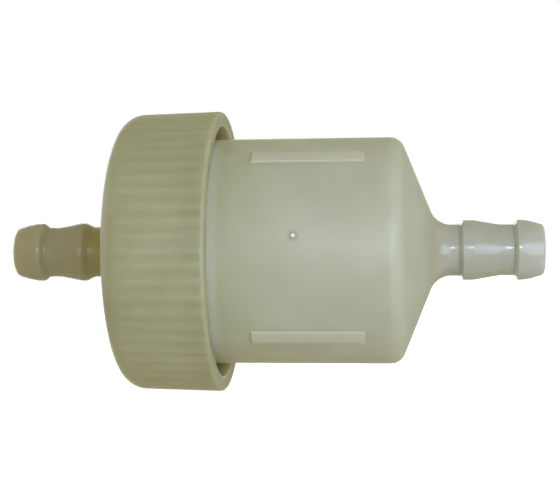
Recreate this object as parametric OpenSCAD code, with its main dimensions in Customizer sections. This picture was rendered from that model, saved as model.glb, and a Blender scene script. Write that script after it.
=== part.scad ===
// In-line fuel filter for a small engine, with a screw cap and a pleated paper element.
// The flow axis lies along X: fuel comes in at -X and leaves at +X. +Z is up.
// The origin is on the axis, half way between the tips of the two hose barbs. Millimetres.

/* [Bowl] */
// Outer diameter of the bowl
bowl_d = 26.6; // [22:0.1:34]
// Length of the bowl from its rim to the corner where the cone begins
bowl_l = 29.5; // [24:0.1:40]
// Wall thickness of the bowl
bowl_wall = 1.5; // [1.2:0.1:2]
// Angle between the cone shoulder and the flow axis, in degrees
cone_angle = 68; // [57:1:80]
// Outer radius of the rounded corner between bowl and cone
corner_r = 1.7; // [0.8:0.1:2.2]
// Radius of the hollow blend between cone and outlet barb
root_r = 2.4; // [1:0.1:3]

/* [Guide ribs] */
// Length of each guide rib along the bowl
rib_l = 13; // [8:0.5:16]
// Width of each guide rib
rib_w = 2; // [1.2:0.1:3]
// Half the angle between an upper and a lower rib on the same side, in degrees
rib_spread = 49; // [30:1:60]
// Turn of the whole set of ribs about the flow axis, in degrees
rib_turn = 3; // [-10:1:10]
// Distance from the end of the ribs to the corner of the cone
rib_inset = 3.8; // [2:0.1:6]
// Height of the low pad that shows over each rib on the outside
pad_h = 0.2; // [0.1:0.05:0.4]

/* [Hose barbs] */
// Diameter of the necks between the rings, for a 6 mm hose
neck_d = 6; // [5.1:0.02:7.4]
// Height of a ring above the neck, by which it stretches the hose
ring_h = 0.5; // [0.4:0.01:0.7]
// How far the tip lies below the neck, so that the hose slips on
tip_relief = 0.1; // [0:0.01:0.3]
// Diameter of the passage through each barb
passage_d = 4; // [3:0.1:4.8]
// Length of the inlet barb outside the cap
inlet_barb_l = 13.4; // [11:0.1:18]
// Length of the outlet barb outside the point where the cone would meet it
outlet_barb_l = 12.4; // [11:0.1:18]
// Distance from a barb's tip to the land of its first ring
ring_1_from_tip = 2.6; // [2:0.1:3.5]
// Length of the cylindrical land on top of each ring
ring_land = 0.6; // [0.4:0.1:1]
// Length of the undercut step behind each ring
ring_step = 0.4; // [0.2:0.1:0.8]
// Distance from the inlet barb's tip to the land of its second ring
inlet_ring_2 = 7.7; // [7:0.1:8.5]
// Distance from the outlet barb's tip to the land of its second ring
outlet_ring_2 = 8.3; // [7:0.1:8.5]
// Length of the ramp that leads up to the second ring
ring_2_ramp = 2.7; // [2:0.1:3]

/* [Cap] */
// Wall of the skirt at its mouth, grip ribs included
skirt_wall = 1.75; // [1.4:0.05:2.4]
// Length of the cap from its end face to its mouth
cap_l = 11.9; // [9.3:0.1:16]
// Thickness of the cap's end wall
cap_end = 2; // [1.5:0.1:3]
// Radius taken off the skirt from mouth to end face, so that it leaves its mould
cap_draft = 0.3; // [0:0.05:0.5]
// Radius of the rounded outer edge of the end face
cap_edge_r = 2.6; // [0.8:0.1:2.8]
// Number of grip ribs round the skirt
grip_count = 60; // [40:4:80]
// Width of each grip rib
grip_w = 0.6; // [0.4:0.05:0.8]
// Height of each grip rib
grip_h = 0.15; // [0.1:0.05:0.4]
// Free space from the bowl's wall to the inside of the skirt
skirt_gap = 1.55; // [1.4:0.05:2]

/* [Thread] */
// Distance between neighbouring thread ridges
thread_pitch = 3; // [2.5:0.1:3.6]
// Number of thread starts
thread_starts = 2; // [1:1:2]
// Width of a ridge at its foot
ridge_foot = 1.4; // [1.1:0.05:1.5]
// Width of a ridge at its crest
ridge_crest = 0.8; // [0.6:0.05:0.9]

/* [Gasket] */
// Thickness of the flat cap gasket
gasket_t = 1.2; // [0.8:0.1:2]

/* [Element] */
// Free space between an end disc and the wall of the bowl, all round
element_gap = 2; // [1.5:0.1:2.5]
// Thickness of each end disc
disc_t = 1.2; // [0.8:0.1:1.6]
// Height of the rim that holds the bond bead on each disc
disc_rim_h = 1; // [0.6:0.1:1.5]
// Thickness of that rim
disc_rim_t = 0.5; // [0.4:0.1:0.8]
// Gap between a disc's rim and the folds of the paper
media_gap = 0.55; // [0.4:0.05:0.8]
// Number of pleats
pleats = 24; // [16:1:26]
// Thickness of the filter paper
paper_t = 0.35; // [0.25:0.01:0.36]
// Width of the flat outer fold of a pleat
fold_out = 1.05; // [0.9:0.05:1.2]
// Width of the gap between neighbouring pleats at their inner folds
fold_in = 0.25; // [0.2:0.01:0.3]
// Outer diameter of the perforated core tube
core_d = 9.2; // [9:0.1:10]
// Wall thickness of the core tube
core_wall = 0.8; // [0.6:0.1:1]
// Diameter of the holes in the core tube
core_hole_d = 1.4; // [1:0.1:1.8]
// Holes in each row round the core tube
core_columns = 6; // [4:2:8]
// Rows of holes along the core tube
core_rows = 6; // [4:1:7]

/* [Outlet spigot] */
// Diameter of the spigot on the outlet disc
spigot_d = 7.4; // [6.2:0.1:8.9]
// Diameter of the passage through the spigot and its disc
spigot_bore_d = 4.4; // [3.6:0.1:4.8]
// Length of the spigot
spigot_l = 4.4; // [3.7:0.1:5.3]
// Thickness of the O-ring on the spigot
seal_t = 1.2; // [1:0.05:1.4]
// Distance from the disc to the middle of the O-ring
seal_from_disc = 2.2; // [1.9:0.1:2.6]
// Thickness of the wall between the spigot's socket and the cone
socket_floor_t = 2.2; // [1.5:0.1:3]

/* [Hidden] */

// Clearances and small sizes
seat_gap = 0.05;      // between flat faces that seat on each other
run_gap = 0.3;        // between round pieces that slide past each other
seal_gap = 0.03;      // between the O-ring and the socket that it seals
thread_gap = 0.35;    // between a ridge's crest and the wall it runs along
socket_gap = 0.4;     // between spigot and socket, all round
socket_wall = 1.3;    // wall of the socket's boss
rim_edge = 0.4;       // bevel on the bowl's rim
lug_count = 4;        // stand-off lugs on the closed disc
lug_w = 1.6;          // width of a stand-off lug
lug_l = 2.3;          // length of a stand-off lug, which keeps the inlet open
lug_gap = 0.1;        // between a stand-off lug and the cap
lug_inset = 1;        // distance from a stand-off lug to the disc's edge
lug_inner_r = 4;      // distance from the axis to a stand-off lug
tab_w = 2.4;          // width of a centring tab on the closed disc
strip_t = 0.25;       // thickness of the seam strip
strip_reach = 0.45;   // how far down the pleat the seam strip reaches, as a share of its leg
sink = 0.4;           // how far joined shapes run into each other
ridge_step = 10;      // degrees between sections of a thread ridge
grip_start = 1;       // from the cap's end face to the start of its grip ribs
rim_land = 1.2;       // from the bowl's rim to the middle of its first ridge
mouth_land = 0.8;     // from the skirt's last ridge to its mouth
core_fold_gap = 0.2;  // between the core tube and the paper's inner folds
gasket_inset = 0.1;   // how far the gasket's hole clears the bowl's bore
smooth = 96;          // facets of a full circle in a preview

// Radii
bowl_r = bowl_d / 2;
bore_r = bowl_r - bowl_wall;
neck_r = neck_d / 2;
ring_r = neck_r + ring_h;
tip_r = neck_r - tip_relief;
passage_r = passage_d / 2;
skirt_r = bowl_r + skirt_gap;
cap_r = skirt_r + skirt_wall;
disc_r = bore_r - element_gap;
core_r = core_d / 2;
spigot_r = spigot_d / 2;
spigot_bore_r = spigot_bore_d / 2;
socket_r = spigot_r + socket_gap;
boss_r = socket_r + socket_wall;
seal_mid_r = socket_r - seal_gap - seal_t / 2;
groove_r = seal_mid_r - seal_t / 2 - seal_gap;
bead_out_r = disc_r - disc_rim_t;
media_r = bead_out_r - media_gap + paper_t;
media_in_r = core_r + core_fold_gap;
male_crest_r = skirt_r - thread_gap;
female_crest_r = bowl_r + thread_gap;

// Stations along the flow axis, from the inlet tip to the outlet tip
cone_run = (bowl_r - neck_r) / tan(cone_angle);
total_l = inlet_barb_l + cap_end + gasket_t + bowl_l + cone_run + outlet_barb_l;
inlet_tip = -total_l / 2;
cap_face = inlet_tip + inlet_barb_l;
cap_inner = cap_face + cap_end;
rim = cap_inner + gasket_t;
cap_mouth = cap_face + cap_l;
cone_start = rim + bowl_l;
cone_tip = cone_start + cone_run;
outlet_tip = cone_tip + outlet_barb_l;
half_turn = tan(cone_angle / 2);
bore_corner = cone_start - bowl_wall * half_turn;
rib_end = cone_start - rib_inset;

// The element, from the socket back to the cap
socket_floor = cone_start + (bowl_r - socket_r) / tan(cone_angle) - socket_floor_t;
outlet_disc_back = socket_floor - socket_gap - spigot_l;
boss_face = outlet_disc_back + seat_gap;
outlet_disc_front = outlet_disc_back - disc_t;
media_end = outlet_disc_front - disc_rim_h;
closed_disc_back = cap_inner + lug_gap + lug_l;
closed_disc_front = closed_disc_back + disc_t;
media_start = closed_disc_front + disc_rim_h;

// Thread. The ridges in the skirt lie half a pitch further from the rim than those on the bowl
lead = thread_pitch * thread_starts;
thread_start = rim + rim_land;
thread_run = cap_mouth - mouth_land - ridge_foot / 2 - thread_pitch / 2 - thread_start;
thread_turns = thread_run / lead;

// Puts a shape that was drawn along Z onto the flow axis
module on_axis() {
    rotate([0, 90, 0]) children();
}

// A body of revolution about the flow axis. The children are half its section, drawn as (radius, station)
module turned() {
    on_axis() rotate_extrude($fn = smooth) children();
}

// A rectangle of a half section, from one station to another
module band(r_in, r_out, from, to) {
    translate([r_in, from]) square([r_out - r_in, to - from]);
}

// A point on a circle
function polar(r, angle) = [r * cos(angle), r * sin(angle)];

// ---- Hose barbs ----

// Half section of a hose barb. The tip is at station 0, the second ring's land begins at
// station second, and the barb runs to station l
module barb_section(second, l) {
    first = ring_1_from_tip;
    polygon([
        [passage_r, 0],
        [tip_r, 0],
        [ring_r, first],
        [ring_r, first + ring_land],
        [neck_r, first + ring_land + ring_step],
        [neck_r, second - ring_2_ramp],
        [ring_r, second],
        [ring_r, second + ring_land],
        [neck_r, second + ring_land + ring_step],
        [neck_r, l],
        [passage_r, l]
    ]);
}

// ---- Thread ridges ----

// One helical ridge about Z from radius foot_r, where it is wide, to radius crest_r, where it is narrow
module ridge(foot_r, crest_r, from, turned_by) {
    steps = ceil(thread_turns * 360 / ridge_step);
    section = [
        [foot_r, -ridge_foot / 2],
        [crest_r, -ridge_crest / 2],
        [crest_r, ridge_crest / 2],
        [foot_r, ridge_foot / 2]
    ];
    points = [
        for (i = [0:steps], p = section)
            let (a = thread_turns * 360 * i / steps)
            [p[0] * cos(a + turned_by), p[0] * sin(a + turned_by), from + lead * a / 360 + p[1]]
    ];
    sides = [
        for (i = [0:steps - 1], j = [0:3])
            let (k = (j + 1) % 4)
            [4 * i + j, 4 * i + k, 4 * i + 4 + k]
    ];
    more_sides = [
        for (i = [0:steps - 1], j = [0:3])
            let (k = (j + 1) % 4)
            [4 * i + j, 4 * i + 4 + k, 4 * i + 4 + j]
    ];
    ends = [
        [0, 3, 2], [0, 2, 1],
        [4 * steps, 4 * steps + 1, 4 * steps + 2], [4 * steps, 4 * steps + 2, 4 * steps + 3]
    ];
    flip = crest_r > foot_r;
    faces = concat(sides, more_sides, ends);
    polyhedron(points, flip ? faces : [for (f = faces) [f[2], f[1], f[0]]]);
}

// All starts of one thread. The first ridge begins at the given station
module thread(foot_r, crest_r, from) {
    on_axis()
        for (i = [0:thread_starts - 1])
            ridge(foot_r, crest_r, from, i * 360 / thread_starts);
}

// ---- Bowl ----

// The corner between a cylinder and a cone, rounded by a circle. It is what the rounding takes away
module corner_waste(r, at, round_r) {
    run = round_r * half_turn;
    difference() {
        polygon([
            [r, at - run],
            [r + sink, at - run],
            [r + sink, at + run],
            [r - run * sin(cone_angle), at + run * cos(cone_angle)]
        ]);
        translate([r - round_r, at - run]) circle(round_r, $fn = smooth);
    }
}

// The hollow blend between the cone and the outlet barb
module root_fill() {
    run = root_r * half_turn;
    difference() {
        polygon([
            [passage_r, cone_tip],
            [neck_r, cone_tip + run],
            [neck_r + run * sin(cone_angle), cone_tip - run * cos(cone_angle)],
            [passage_r, cone_tip - run * cos(cone_angle)]
        ]);
        translate([neck_r + root_r, cone_tip + run]) circle(root_r, $fn = smooth);
    }
}

// Half section of the bowl with its outlet barb, without ribs and thread
module bowl_section() {
    difference() {
        union() {
            difference() {
                polygon([
                    [0, rim],
                    [bowl_r - rim_edge, rim],
                    [bowl_r, rim + rim_edge],
                    [bowl_r, cone_start],
                    [neck_r, cone_tip],
                    [0, cone_tip]
                ]);
                corner_waste(bowl_r, cone_start, corner_r);
            }
            root_fill();
            translate([0, outlet_tip]) mirror([0, 1]) barb_section(outlet_ring_2, outlet_barb_l + sink);
        }
        difference() {
            polygon([
                [0, rim - sink],
                [bore_r, rim - sink],
                [bore_r, bore_corner],
                [neck_r, bore_corner + (bore_r - neck_r) / tan(cone_angle)],
                [0, bore_corner + (bore_r - neck_r) / tan(cone_angle)]
            ]);
            band(socket_r, boss_r, boss_face, cone_tip);
            band(0, boss_r, socket_floor, cone_tip);
        }
        band(0, passage_r, boss_face, outlet_tip + sink);
    }
}

// Calls its children once for each guide rib, with +Y pointing out along the rib's radius
module at_ribs() {
    for (side = [0, 180], tilt = [-rib_spread, rib_spread])
        rotate([side + tilt + 180 - rib_turn, 0, 0]) children();
}

module bowl() {
    color("#C6C8B4") {
        turned() bowl_section();
        at_ribs() {
            rib_in_r = disc_r + run_gap;
            intersection() {
                translate([rib_end - rib_l, rib_in_r, -rib_w / 2])
                    cube([rib_l, bowl_r + pad_h - rib_in_r, rib_w]);
                turned() band(rib_in_r - sink, bowl_r + pad_h, rib_end - rib_l - sink, rib_end + sink);
            }
        }
        thread(bowl_r - sink, male_crest_r, thread_start);
    }
}

// ---- Cap ----

// Half section of the cap's outside, lowered by the given amount
module cap_envelope(lower) {
    face_r = cap_r - cap_draft - lower;
    mouth_r = cap_r - lower;
    difference() {
        polygon([[0, cap_face], [face_r, cap_face], [mouth_r, cap_mouth], [0, cap_mouth]]);
        translate([face_r - cap_edge_r, cap_face]) difference() {
            translate([0, -sink]) square([cap_edge_r + sink, cap_edge_r + sink]);
            translate([0, cap_edge_r]) circle(cap_edge_r, $fn = smooth);
        }
    }
}

// Half section of the space inside the cap
module cap_hollow() {
    union() {
        band(0, skirt_r, cap_inner, cap_mouth + sink);
        band(0, passage_r, cap_face - sink, cap_mouth);
    }
}

// The grip ribs, cut off by the cap's outside
module grip() {
    intersection() {
        turned() difference() {
            cap_envelope(0);
            band(0, skirt_r + sink, cap_face - sink, cap_mouth + sink);
        }
        for (i = [0:grip_count - 1])
            rotate([360 * i / grip_count, 0, 0])
                translate([cap_face + grip_start, skirt_r, -grip_w / 2])
                    cube([cap_l, cap_r, grip_w]);
    }
}

module inlet_cap() {
    color("#B4B596") {
        turned() difference() {
            union() {
                cap_envelope(grip_h);
                translate([0, inlet_tip]) barb_section(inlet_ring_2, inlet_barb_l + sink);
            }
            cap_hollow();
        }
        grip();
        thread(skirt_r + sink, female_crest_r, thread_start + thread_pitch / 2);
    }
}

module cap_gasket() {
    color("#2B2B29")
        turned() band(bore_r + gasket_inset, skirt_r - run_gap, cap_inner, rim);
}

// ---- Filter element ----

// Plate and bead rim shared by both end discs. The rim points from the plate towards the paper
module disc_section(plate_from, plate_to, rim_from, rim_to, hole_r) {
    band(hole_r, disc_r, plate_from, plate_to);
    band(disc_r - disc_rim_t, disc_r, rim_from, rim_to);
}

module closed_end_disc() {
    color("#E4E2D2") {
        turned() disc_section(closed_disc_back, closed_disc_front, closed_disc_back, media_start, 0);
        for (i = [0:lug_count - 1])
            rotate([360 * i / lug_count + 45, 0, 0]) {
                translate([closed_disc_back - lug_l, lug_inner_r, -lug_w / 2])
                    cube([lug_l + disc_t / 2, disc_r - lug_inset - lug_inner_r, lug_w]);
                intersection() {
                    translate([closed_disc_back, disc_r - disc_rim_t, -tab_w / 2])
                        cube([disc_t, bore_r - disc_r + disc_rim_t, tab_w]);
                    turned() band(0, bore_r - run_gap, closed_disc_back - sink, closed_disc_front + sink);
                }
            }
    }
}

module outlet_end_disc() {
    seal_at = outlet_disc_back + seal_from_disc;
    color("#E4E2D2")
        turned() difference() {
            union() {
                disc_section(outlet_disc_front, outlet_disc_back, media_end, outlet_disc_back, spigot_bore_r);
                band(spigot_bore_r, spigot_r, outlet_disc_front, outlet_disc_back + spigot_l);
            }
            band(groove_r, spigot_r + sink, seal_at - seal_t / 2 - seal_gap, seal_at + seal_t / 2 + seal_gap);
        }
}

module spigot_seal() {
    color("#2B2B29")
        turned() translate([seal_mid_r, outlet_disc_back + seal_from_disc]) circle(seal_t / 2, $fn = 48);
}

module core_tube() {
    hole_rows_l = media_end - media_start;
    color("#D8D9CE")
        difference() {
            turned() band(core_r - core_wall, core_r, closed_disc_front, outlet_disc_front);
            for (row = [0:core_rows - 1], column = [0:core_columns - 1])
                translate([media_start + hole_rows_l * (row + 0.5) / core_rows, 0, 0])
                    rotate([360 * (column + 0.5 * (row % 2)) / core_columns, 0, 0])
                        translate([0, 0, core_r - core_wall - sink])
                            cylinder(h = core_wall + 2 * sink, d = core_hole_d, $fn = 32);
        }
}

// Half the angle that a flat fold of the given width takes up at the given radius
function fold_angle(w, r) = asin(w / 2 / r);

// The closed zigzag line of the pleats. Each fold is flat: width w_out outside, w_in inside
function zigzag(r_out, w_out, r_in, w_in) = [
    for (i = [0:pleats - 1])
        let (
            here = 360 * i / pleats,
            half = 180 / pleats,
            out = fold_angle(w_out, r_out),
            inn = fold_angle(w_in, r_in)
        )
        each [
            polar(r_out, here - out),
            polar(r_out, here + out),
            polar(r_in, here + half - inn),
            polar(r_in, here + half + inn)
        ]
];

module pleated_media() {
    color("#D9C9A0")
        on_axis() translate([0, 0, media_start]) linear_extrude(media_end - media_start) difference() {
            polygon(zigzag(media_r, fold_out, media_in_r + paper_t, fold_in));
            polygon(zigzag(media_r - paper_t, fold_out - 2 * paper_t, media_in_r, fold_in + 2 * paper_t));
        }
}

// The U strip over one pleat. Its legs follow the pleat's own legs
module seam_strip() {
    out_fold = polar(media_r, fold_angle(fold_out, media_r));
    in_fold = polar(media_in_r + paper_t, 180 / pleats - fold_angle(fold_in, media_in_r + paper_t));
    leg = (in_fold - out_fold) * strip_reach;
    leg_end = out_fold + leg;
    side = [-leg[1], leg[0]] / norm(leg) * -strip_t;
    upper = [out_fold + [0, 0], leg_end, leg_end + side, out_fold + [strip_t, strip_t]];
    color("#C9C6B8")
        on_axis() translate([0, 0, media_start]) linear_extrude(media_end - media_start)
            polygon(concat(upper, [for (i = [3:-1:0]) [upper[i][0], -upper[i][1]]]));
}

// The ring of glue between a disc and the paper, from one station to another
module bond_bead(from, to) {
    color("#C2B280")
        turned() band(core_r + seat_gap, bead_out_r - seat_gap, from, to);
}

module closed_bond_bead() {
    bond_bead(closed_disc_front, media_start);
}

module outlet_bond_bead() {
    bond_bead(media_end, outlet_disc_front);
}

bowl();
inlet_cap();
cap_gasket();
closed_end_disc();
outlet_end_disc();
spigot_seal();
core_tube();
pleated_media();
seam_strip();
closed_bond_bead();
outlet_bond_bead();
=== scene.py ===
"""In-line fuel filter for a small engine, modelled piece by piece around its packed CAD frame.

The flow axis lies along X: fuel comes in at -X and leaves at +X. +Z is up. Metres.
"""

import math

import bpy
from mathutils import Matrix, Vector


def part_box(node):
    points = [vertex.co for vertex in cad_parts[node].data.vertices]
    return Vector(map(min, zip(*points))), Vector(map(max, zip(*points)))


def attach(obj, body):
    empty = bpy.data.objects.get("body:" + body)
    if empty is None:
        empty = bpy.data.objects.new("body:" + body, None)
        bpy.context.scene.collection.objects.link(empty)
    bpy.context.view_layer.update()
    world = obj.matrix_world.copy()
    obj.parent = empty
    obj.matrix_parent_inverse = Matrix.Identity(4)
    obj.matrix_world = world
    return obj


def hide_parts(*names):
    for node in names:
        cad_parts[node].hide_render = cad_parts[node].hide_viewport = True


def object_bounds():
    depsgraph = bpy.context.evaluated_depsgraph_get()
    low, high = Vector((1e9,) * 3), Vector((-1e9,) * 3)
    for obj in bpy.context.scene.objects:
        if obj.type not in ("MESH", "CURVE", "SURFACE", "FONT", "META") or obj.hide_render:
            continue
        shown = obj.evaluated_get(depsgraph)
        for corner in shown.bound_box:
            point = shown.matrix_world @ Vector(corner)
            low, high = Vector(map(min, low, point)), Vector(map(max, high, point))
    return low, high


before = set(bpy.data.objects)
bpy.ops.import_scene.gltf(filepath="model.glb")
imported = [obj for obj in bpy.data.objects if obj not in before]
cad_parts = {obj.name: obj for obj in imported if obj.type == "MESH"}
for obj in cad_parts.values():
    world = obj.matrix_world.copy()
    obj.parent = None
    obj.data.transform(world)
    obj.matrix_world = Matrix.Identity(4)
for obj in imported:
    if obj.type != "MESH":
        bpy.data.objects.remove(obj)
CAD_BOX = [list(corner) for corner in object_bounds()]

bl_info = {
    "name": "In-line fuel filter",
    "version": (1, 0, 0),
    "blender": (4, 5, 0),
    "location": "3D View > Sidebar > Filter",
    "description": "Models an in-line fuel filter with a screw cap and a pleated element",
    "category": "Object",
}

MM = 0.001

# Colour sockets of the Mix node, which keeps several of the same name
MIX_A, MIX_B, MIX_RESULT = 6, 7, 2

# Stations along the flow axis, taken from the CAD nodes
INLET_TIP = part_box("inlet_cap")[0].x
CAP_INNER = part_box("cap_gasket")[0].x
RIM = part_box("cap_gasket")[1].x
CAP_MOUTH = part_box("inlet_cap")[1].x
OUTLET_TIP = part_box("bowl")[1].x
LUG_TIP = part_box("closed_end_disc")[0].x
CLOSED_DISC_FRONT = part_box("closed_bond_bead")[0].x
MEDIA_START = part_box("pleated_media")[0].x
MEDIA_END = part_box("pleated_media")[1].x
OUTLET_DISC_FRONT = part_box("outlet_bond_bead")[1].x
SPIGOT_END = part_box("outlet_end_disc")[1].x
SEAL_MID = (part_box("spigot_seal")[0].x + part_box("spigot_seal")[1].x) / 2

# Radii, taken from the CAD nodes
CAP_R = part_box("inlet_cap")[1].y
GASKET_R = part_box("cap_gasket")[1].z
MEDIA_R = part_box("pleated_media")[1].y
CORE_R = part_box("core_tube")[1].z
DISC_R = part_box("outlet_end_disc")[1].z
SEAL_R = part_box("spigot_seal")[1].z
BEAD_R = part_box("closed_bond_bead")[1].z


# ---- Sizes and colours that a user would change ----


def linear(code):
    """Turns an sRGB hex colour into the linear red, green, blue and alpha that a socket takes."""
    parts = [int(code[i:i + 2], 16) / 255 for i in (0, 2, 4)]
    return tuple(p / 12.92 if p <= 0.04045 else ((p + 0.055) / 1.055) ** 2.4 for p in parts) + (1.0,)


def length(name, description, size_mm):
    """A length that a user may change, given in millimetres and kept in metres."""
    return bpy.props.FloatProperty(
        name=name, description=description, default=size_mm * MM, precision=5, unit="LENGTH"
    )


def angle(name, description, degrees):
    """An angle that a user may change, given in degrees."""
    return bpy.props.FloatProperty(
        name=name, description=description, default=math.radians(degrees), subtype="ANGLE"
    )


def count(name, description, number):
    """A whole number that a user may change."""
    return bpy.props.IntProperty(name=name, description=description, default=number, min=1)


def colour(name, description, code):
    """A colour that a user may change, given in sRGB hex."""
    return bpy.props.FloatVectorProperty(
        name=name, description=description, default=linear(code), subtype="COLOR", size=4, min=0, max=1
    )


class BarbSizes(bpy.types.PropertyGroup):
    """The two hose barbs."""

    neck_r: length("Neck radius", "Radius between the rings", 3.0)
    ring_r: length("Ring radius", "Radius on top of the rings", 3.5)
    tip_r: length("Tip radius", "Radius at the tip", 2.9)
    passage_r: length("Passage radius", "Radius of the fuel passage", 2.0)


class BowlSizes(bpy.types.PropertyGroup):
    """The bowl, its ribs and its socket."""

    outer_r: length("Bowl radius", "Outer radius of the bowl", 13.3)
    wall: length("Wall", "Thickness of the bowl's wall", 1.5)
    body_l: length("Bowl length", "From the rim to the corner where the cone begins", 29.5)
    cone: angle("Cone angle", "Angle between the cone and the flow axis", 68)
    corner_round: length("Corner rounding", "Rounding between bowl and cone", 1.7)
    root_round: length("Root rounding", "Hollow rounding between cone and outlet barb", 2.4)
    socket_r: length("Socket radius", "Radius of the socket for the spigot", 4.1)
    socket_wall: length("Socket wall", "Wall of the socket's boss", 1.3)
    socket_floor: length("Socket floor", "From the spigot's end to the floor of the socket", 0.4)
    socket_l: length("Socket length", "How far the socket's boss reaches back along the spigot", 4.35)
    rib_l: length("Rib length", "Length of a guide rib", 13)
    rib_inset: length("Rib inset", "From the end of the ribs to the corner of the cone", 3.8)
    rib_spread: angle("Rib spread", "Half the angle between upper and lower ribs", 49.5)
    rib_turn: angle("Rib turn", "Turn of the whole set of ribs", 3)
    rib_inner_r: length("Rib inner radius", "Distance from the axis to a guide rib", 10.15)
    pad_h: length("Pad height", "Height of the pad over each rib", 0.17)
    pad_half: angle("Pad half width", "Half the angle that a pad takes up", 4.5)
    gate_at: length("Gate station", "Where along the axis the gate mark sits", 3.25)
    gate_turn: angle("Gate turn", "Angle of the gate mark above the side that faces -Y", 7.2)
    gate_r: length("Gate radius", "Radius of the gate mark", 0.3)


class CapSizes(bpy.types.PropertyGroup):
    """The screw cap."""

    end_wall: length("End wall", "Thickness of the cap's end wall", 2)
    skirt_r: length("Skirt radius", "Inner radius of the skirt", 14.85)
    draft: length("Draft", "Radius taken off from mouth to end face", 0.3)
    edge_round: length("Edge rounding", "Rounding of the end face's edge", 2.6)
    grip_count: count("Grip ribs", "Number of grip ribs round the skirt", 60)
    grip_h: length("Grip depth", "Depth of the valleys between the grip ribs", 0.08)


class ThreadSizes(bpy.types.PropertyGroup):
    """The two-start thread of bowl and cap."""

    lead: length("Lead", "Travel in one turn", 6)
    starts: count("Starts", "Number of thread starts", 2)
    foot: length("Foot", "Width of a ridge at its foot", 1.4)
    crest: length("Crest", "Width of a ridge at its crest", 0.8)
    male_crest_r: length("Male crest", "Radius of the bowl's ridges", 14.5)
    female_crest_r: length("Female crest", "Radius of the cap's ridges", 13.65)
    rim_land: length("Rim land", "From the rim to the middle of the first ridge", 1.2)


class ElementSizes(bpy.types.PropertyGroup):
    """The filter element."""

    disc_t: length("Disc thickness", "Thickness of an end disc", 1.2)
    disc_rim_t: length("Disc rim", "Thickness of the rim that holds the glue", 0.5)
    lug_w: length("Lug width", "Width of a stand-off lug", 1.6)
    tab_w: length("Tab width", "Width of a centring tab", 2.4)
    tab_r: length("Tab reach", "Distance from the axis to a tab's tip", 11.48)
    spigot_r: length("Spigot radius", "Outer radius of the spigot", 3.7)
    spigot_bore_r: length("Spigot bore", "Radius of the passage through the spigot", 2.2)
    seal_t: length("O-ring", "Thickness of the O-ring", 1.2)
    core_wall: length("Core wall", "Wall of the core tube", 0.8)
    core_hole_r: length("Core hole", "Radius of a hole in the core tube", 0.7)
    core_rows: count("Core rows", "Rows of holes along the core tube", 6)
    core_columns: count("Core columns", "Holes in each row round the core tube", 6)
    pleats: count("Pleats", "Number of pleats", 24)
    paper_t: length("Paper", "Thickness of the filter paper", 0.35)
    fold_out: length("Outer fold", "Width of a pleat's outer fold", 1.05)
    fold_in: length("Inner fold", "Width of the gap at a pleat's inner fold", 0.25)
    strip_t: length("Strip", "Thickness of the seam strip", 0.25)


class FilterColours(bpy.types.PropertyGroup):
    """Colours of the pieces."""

    bowl: colour("Bowl", "Natural nylon of the bowl", "BAB7A7")
    bowl_mouth: colour("Bowl mouth", "Natural nylon of the bowl near the cap", "B5B298")
    # Bowl under the cap: painted light, paler to offset the shade of the gap beneath the skirt's mouth
    bowl_under_cap_painted_light: colour("Bowl under the cap", "Nylon that the cap keeps from yellowing", "CDCBB8")
    # Rib pads: painted light, paler where the ribs thicken the translucent wall
    rib_pad_painted_light: colour("Rib pads", "Natural nylon of the bowl over the guide ribs", "BEBBAB")
    cone_tip: colour("Cone tip", "Thicker natural nylon where the outlet barb begins", "B8B09C")
    outlet: colour("Outlet barb", "Natural nylon of the outlet barb", "B3B0A8")
    # Gate colour: a painted highlight, the white dot stands in for the lamps' glint on the gate stub
    gate: colour("Gate mark", "Stress-whitened nylon of the gate mark", "FFFFFF")
    cap: colour("Cap", "Thicker natural nylon of the cap", "A8A385")
    cap_edge: colour("Cap edge", "Natural nylon of the cap where its end wall thickens it", "A39D81")
    # Cap inside: painted light, paler where light comes through the skirt into its recess
    cap_inside_painted_light: colour("Cap inside", "Nylon inside the skirt, which light hasn't yellowed", "C6BFA2")
    # Cap mouth: painted shade, darker so that the thin lit edge of the skirt stays dim
    cap_mouth_painted_shade: colour("Cap mouth", "Natural nylon of the cap's mouth, dulled by handling", "A09B7F")
    # Inlet barb: darker partly from thicker nylon and partly as painted shade, as the barb sits behind the
    # cap away from the lamps
    inlet: colour("Inlet barb", "Natural nylon of the inlet barb", "A09679")
    # Inlet root: painted light, a yellow-brown glow of light passing through the thick end of the cap
    inlet_root_painted_glow: colour("Inlet root", "Fuel-stained root of the inlet barb", "A79555")
    rubber: colour("Nitrile", "Nitrile rubber of gasket and O-ring", "2B2B29")
    disc: colour("End disc", "Off-white nylon of the end discs", "E4E2D2")
    core: colour("Core tube", "Natural nylon of the core tube", "CFD0C2")
    paper: colour("Paper", "Resin-cured filter paper", "D3BE8C")
    steel: colour("Strip", "Tinned steel of the seam strip", "C9C7C2")
    glue: colour("Glue", "Cured plastisol glue", "B8963F")
    floor: colour("Floor", "Pale studio floor", "F2F2F0")


# ---- Modelling ----


def radius(point):
    """Distance from the flow axis."""
    return math.hypot(point.y, point.z)


def turned(point):
    """Angle about the flow axis in degrees, from +Y towards +Z."""
    return math.degrees(math.atan2(point.z, point.y))


def only(piece):
    """Makes one object the only selected one, and the active one."""
    bpy.ops.object.select_all(action="DESELECT")
    piece.select_set(True)
    bpy.context.view_layer.objects.active = piece


def pick(piece, kind, rule):
    """Selects the vertices or faces whose place and normal the rule accepts, in edit mode."""
    bpy.ops.object.mode_set(mode="EDIT")
    bpy.ops.mesh.select_mode(type=kind)
    bpy.ops.mesh.select_all(action="DESELECT")
    bpy.ops.object.mode_set(mode="OBJECT")
    if kind == "VERT":
        for vertex in piece.data.vertices:
            vertex.select = rule(vertex.co, vertex.normal)
    else:
        for face in piece.data.polygons:
            face.select = rule(face.center, face.normal)
    bpy.ops.object.mode_set(mode="EDIT")


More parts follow.
